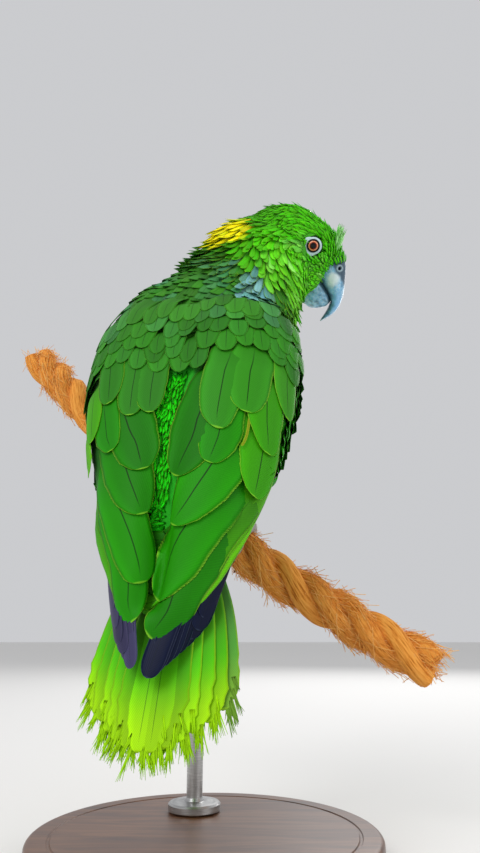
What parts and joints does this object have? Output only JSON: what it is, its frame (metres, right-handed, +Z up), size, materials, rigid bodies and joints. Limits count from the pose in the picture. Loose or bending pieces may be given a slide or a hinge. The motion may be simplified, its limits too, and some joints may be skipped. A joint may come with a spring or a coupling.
{
  "type": "amazon parrot model",
  "caption": "Yellow-naped amazon parrot, life size, seen as it looks over its right shoulder, on a cut length of coir rope held by a plain display stand.",
  "frame": {"origin": "centre of the underside of the stand's base, on the surface it stands on", "axes": "+Z up; the bird's back is towards -Y and its bill points towards +X"},
  "size_m": [0.2495, 0.181, 0.352],
  "materials": {
    "green_feathers": "bright green feathers, each with a darker shaft and a paler edge, yellow on the nape",
    "blue_black_feathers": "blue-black flight feathers with a slight purple sheen",
    "tail_feathers": "yellow-green tail feathers with frayed tips",
    "bill_horn": "slate horn with a paler, flaking patch at its base",
    "cere_skin": "dark bare skin with round nostrils",
    "eye_glass": "wet orange eye with a black pupil",
    "foot_skin": "grey scaly skin",
    "claw_horn": "dark grey horn",
    "coir_rope": "golden brown coir, laid in three strands, with loose fibres",
    "walnut": "turned and oiled walnut",
    "steel": "brushed round bar"
  },
  "bodies": {
    "root": {"trunk": "green_feathers", "neck": "green_feathers", "head": "green_feathers", "wing_left": "green_feathers", "wing_right": "green_feathers", "thigh_left": "green_feathers", "thigh_right": "green_feathers", "primaries_left": "blue_black_feathers", "primaries_right": "blue_black_feathers", "tail": "tail_feathers", "bill_upper": "bill_horn", "bill_lower": "bill_horn", "cere": "cere_skin", "eye_left": "eye_glass", "eye_right": "eye_glass", "foot_left": "foot_skin", "foot_right": "foot_skin", "claw_left_1": "claw_horn", "claw_left_2": "claw_horn", "claw_left_3": "claw_horn", "claw_left_4": "claw_horn", "claw_right_1": "claw_horn", "claw_right_2": "claw_horn", "claw_right_3": "claw_horn", "claw_right_4": "claw_horn", "perch_rope": "coir_rope", "stand_base": "walnut", "stand_rod": "steel"}
  },
  "joints": []
}
